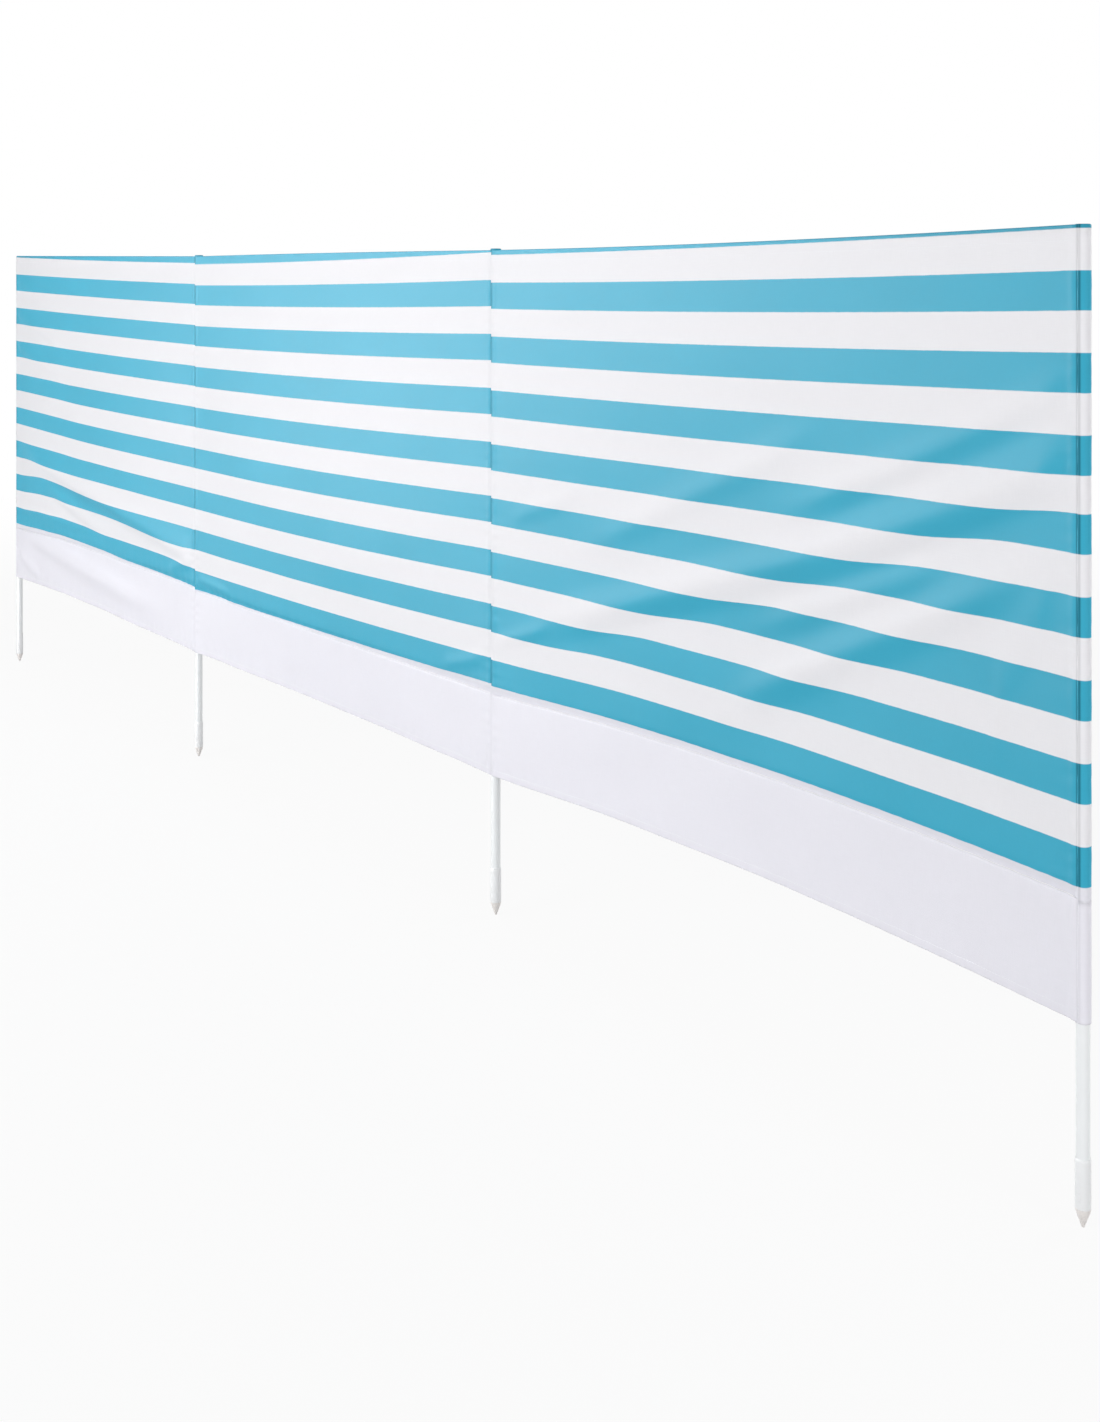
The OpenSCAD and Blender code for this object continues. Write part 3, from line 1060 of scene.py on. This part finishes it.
class WINDBREAK_OT_skirts(bpy.types.Operator):
    """Make the three plain skirts, each with its lower hem folded to the back"""

    bl_idname = "windbreak.skirts"
    bl_label = "Skirts"

    def execute(self, context):
        sizes = context.scene.windbreak_sizes
        flat = -flat_rows(-SEAM_Z + sizes.fold_radius, -LOW_Z, BOTTOM_HEM, sizes.fold_radius)[::-1]
        flat = np.append(flat, flat[-1] + math.pi * sizes.fold_radius * np.linspace(0, 1, FOLD_ROWS)[1:])
        for bay in BAYS:
            middle = skirt_points(sizes, bay, flat)
            weave = np.stack(np.broadcast_arrays(middle[..., 0], flat[:, None]), -1)
            piece = add_cloth(f"skirt_cloth_{bay}", middle, sizes.cloth_thickness, None, weave,
                              plain_sides(context))
            hang(piece, bay)
            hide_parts(f"skirt_{bay}", f"bottom_hem_{bay}")
        return {"FINISHED"}


class WINDBREAK_OT_pockets(bpy.types.Operator):
    """Make the pole pockets: a striped upper loop that closes over its pole, and a plain lower loop"""

    bl_idname = "windbreak.pockets"
    bl_label = "Pole Pockets"

    def execute(self, context):
        for pole in POLES:
            high = POLE_TOP + CLOSED_TOP[pole]
            self.loop(context, pole, f"upper_loop_{pole}", SEAM_Z - LOOP_LAP, high, True,
                      striped_sides(context), "striped_cloth", f"upper_pocket_{pole}")
            low = LOW_Z + LOW_EDGE[bay_at(pole)][0 if pole < LAST_POLE else 2]
            self.loop(context, pole, f"lower_loop_{pole}", low, SEAM_Z, False,
                      plain_sides(context), "skirt_cloth", f"lower_pocket_{pole}")
        return {"FINISHED"}

    def loop(self, context, pole, name, low, high, closed, materials, slot, node):
        """One loop of cloth round a pole, in the place of its CAD node."""
        sizes = context.scene.windbreak_sizes
        points, weave = loop_points(pole, low, high, closed)
        stripe = None
        if closed:
            bay = bay_at(pole)
            at_pole = np.full_like(points[..., 0], POLE_X[pole])
            stripe = stripe_count(bay, at_pole, points[..., 2] - fold_lift(bay, at_pole, points[..., 2]))
        piece = add_cloth(name, points, sizes.cloth_thickness, stripe, weave, materials, wrap=True)
        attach(piece, POLE_BODY[pole])
        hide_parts(node)


class WINDBREAK_OT_stitching(bpy.types.Operator):
    """Sew the stitch rows along the hems, the skirt seams and the pole pockets"""

    bl_idname = "windbreak.stitching"
    bl_label = "Stitching"

    def execute(self, context):
        sizes = context.scene.windbreak_sizes
        material = finish_named("sewing_thread", thread_material, context.scene.windbreak_colours)
        hems = (TOP_Z - TOP_HEM + HEM_STITCH, LOW_Z + BOTTOM_HEM - HEM_STITCH)
        for bay in BAYS:
            runs = [level_line(sizes, bay, height, side) for height in hems for side in (-1, 1)]
            runs.append(level_line(sizes, bay, SEAM_Z - SEAM_STITCH, -1))
            piece = add_stitches(f"hem_stitches_{bay}", sizes, runs, material)
            hang(piece, bay)
        for pole in POLES:
            piece = add_stitches(f"pocket_stitches_{pole}", sizes, [pocket_line(sizes, pole)], material)
            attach(piece, POLE_BODY[pole])
        return {"FINISHED"}


class WINDBREAK_OT_poles(bpy.types.Operator):
    """Finish the tubes, and make the sleeves and points with rounded edges"""

    bl_idname = "windbreak.poles"
    bl_label = "Poles"

    def execute(self, context):
        colours = context.scene.windbreak_colours
        tube = finish_named("tube_coat", hard_material, colours.tube)
        sleeve = finish_named("sleeve_plastic", hard_material, colours.sleeve)
        point = finish_named("point_plastic", hard_material, colours.point)
        for pole in POLES:
            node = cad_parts[f"pole_{pole}"]
            node.data.materials.clear()
            node.data.materials.append(tube)
            self.turn(pole, "sleeve", self.sleeve_profile(), sleeve, "white_sleeve", f"ferrule_{pole}")
            self.turn(pole, "foot_point", self.point_profile(), point, "beige_point", f"point_{pole}")
        return {"FINISHED"}

    def turn(self, pole, word, profile, material, slot, node):
        """One turned piece in the place of its CAD node."""
        piece = lathe(f"{word}_{pole}", profile, POLE_X[pole], material)
        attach(piece, POLE_BODY[pole])
        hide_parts(node)

    def sleeve_profile(self):
        """Outline of a sleeve, from inside its bore round its outside and back."""
        bore = TUBE_R + SLEEVE_PLAY
        low, high = SLEEVE_LOW.z, SLEEVE_HIGH.z
        corners = [(bore, low), (SLEEVE_R, low), (SLEEVE_R, high - SLEEVE_BEVEL),
                   ((bore + SLEEVE_R) / 2, high), (bore, high), (bore, low)]
        return rounded_profile(corners, SLEEVE_ROUNDINGS)

    def point_profile(self):
        """Outline of a point: blunt tip, cone, short shoulder and the stem inside the tube."""
        top = SLEEVE_LOW.z
        stem = TUBE_R - STEM_IN
        end = top + STEM_LENGTH
        corners = [(AXIS_R, 0.0), (TIP_R, 0.0), (SLEEVE_R - SHOULDER_IN, SHOULDER_Z),
                   (SLEEVE_R, top - POINT_GAP), (stem, top), (stem, end), (AXIS_R, end)]
        return rounded_profile(corners, POINT_ROUNDINGS)


class WINDBREAK_OT_stage(bpy.types.Operator):
    """Set up the pale floor, the soft studio light and the camera at the photograph's view"""

    bl_idname = "windbreak.stage"
    bl_label = "Stage"

    def execute(self, context):
        self.camera(context)
        self.floor(context)
        for name, lamp in LAMPS.items():
            self.light(context, name, lamp)
        self.sky(context)
        context.scene.view_settings.view_transform = "Standard"
        return {"FINISHED"}

    def camera(self, context):
        """Camera with the photograph's lens, place and level view."""
        data = bpy.data.cameras.new("camera")
        data.sensor_width = SENSOR
        data.lens = FOCAL_PIXELS / IMAGE_HEIGHT * SENSOR
        data.shift_y = (HORIZON_ROW - IMAGE_HEIGHT / 2) / IMAGE_HEIGHT
        camera = bpy.data.objects.new("camera", data)
        camera.location = EYE
        camera.rotation_euler = (math.radians(90), 0, math.radians(EYE_TURN))
        context.scene.collection.objects.link(camera)
        context.scene.camera = camera

    def floor(self, context):
        """Wide white floor that takes the shadow, and is plain white further from the windbreak."""
        half = FLOOR_HALF
        points = [(-half, -half, 0), (half, -half, 0), (half, half, 0), (-half, half, 0)]
        material, tree, shader = new_material("studio_floor")
        place = add_node(tree, "ShaderNodeTexCoord").outputs["Object"]
        colour = tuple(context.scene.windbreak_colours.floor)
        join(tree, shaded(tree, colour, cloudy(tree, place, FLOOR_CLOUDS)), shader.inputs["Base Color"])
        shader.inputs["Roughness"].default_value = FLOOR_ROUGHNESS
        white = add_node(tree, "ShaderNodeEmission", Strength=1.0)
        middle = (MIDDLE_X, 0.0, 0.0)
        away = add_node(tree, "ShaderNodeVectorMath", {"operation": "DISTANCE"}, i0=place, i1=middle)
        far = soft_step(tree, away.outputs["Value"], FLOOR_NEAR, FLOOR_FAR)
        share = multiplied(tree, self.seen(tree), spread(tree, far, FLOOR_WHITE, 1.0))
        mixed = add_node(tree, "ShaderNodeMixShader", i0=share, i1=shader.outputs[0], i2=white.outputs[0])
        join(tree, mixed.outputs[0], tree.nodes["Material Output"].inputs["Surface"])
        add_mesh("studio_floor", points, [(0, 1, 2, 3)], [material], smooth=False)

    def seen(self, tree):
        """1 where a surface is seen, directly or in a reflection, and 0 where it only gives light."""
        path = add_node(tree, "ShaderNodeLightPath").outputs
        direct = math_node(tree, "MAXIMUM", path["Is Camera Ray"], path["Is Glossy Ray"])
        return math_node(tree, "MAXIMUM", direct, path["Is Transmission Ray"])

    def light(self, context, name, lamp):
        """A soft square light that isn't seen itself."""
        data = bpy.data.lights.new(name, "AREA")
        data.size = lamp.side
        data.energy = lamp.power
        light = bpy.data.objects.new(name, data)
        light.visible_camera = False
        light.visible_diffuse = name != GLOSS_LAMP
        light.location = lamp.place
        light.rotation_euler = (Vector(lamp.aim) - Vector(lamp.place)).to_track_quat("-Z", "Y").to_euler()
        context.scene.collection.objects.link(light)

    def sky(self, context):
        """White surroundings: full white where they are seen, softer as light."""
        world = bpy.data.worlds.new("studio")
        context.scene.world = world
        world.use_nodes = True
        tree = world.node_tree
        background = tree.nodes["Background"]
        background.inputs["Color"].default_value = (1, 1, 1, 1)
        join(tree, spread(tree, self.seen(tree), SKY_LIGHT, 1.0), background.inputs["Strength"])


class WINDBREAK_PT_sidebar(bpy.types.Panel):
    """Lists the windbreak's pieces and sizes"""

    bl_label = "Beach Windbreak"
    bl_idname = "WINDBREAK_PT_sidebar"
    bl_space_type = "VIEW_3D"
    bl_region_type = "UI"
    bl_category = "Windbreak"

    def draw(self, context):
        layout = self.layout
        for operator in OPERATORS:
            layout.operator(operator.bl_idname)
        for group in (context.scene.windbreak_sizes, context.scene.windbreak_colours):
            box = layout.box()
            for name in group.bl_rna.properties.keys():
                if name not in ("rna_type", "name"):
                    box.prop(group, name)


OPERATORS = (
    WINDBREAK_OT_stage,
    WINDBREAK_OT_striped_panels,
    WINDBREAK_OT_skirts,
    WINDBREAK_OT_pockets,
    WINDBREAK_OT_stitching,
    WINDBREAK_OT_poles,
)
CLASSES = (WindbreakSizes, WindbreakColours, *OPERATORS, WINDBREAK_PT_sidebar)


def register():
    for cls in CLASSES:
        bpy.utils.register_class(cls)
    bpy.types.Scene.windbreak_sizes = PointerProperty(type=WindbreakSizes)
    bpy.types.Scene.windbreak_colours = PointerProperty(type=WindbreakColours)


def unregister():
    del bpy.types.Scene.windbreak_colours
    del bpy.types.Scene.windbreak_sizes
    for cls in reversed(CLASSES):
        bpy.utils.unregister_class(cls)


def main():
    register()
    bpy.ops.windbreak.stage()
    bpy.ops.windbreak.striped_panels()
    bpy.ops.windbreak.skirts()
    bpy.ops.windbreak.pockets()
    bpy.ops.windbreak.stitching()
    bpy.ops.windbreak.poles()


if __name__ == "__main__":
    main()
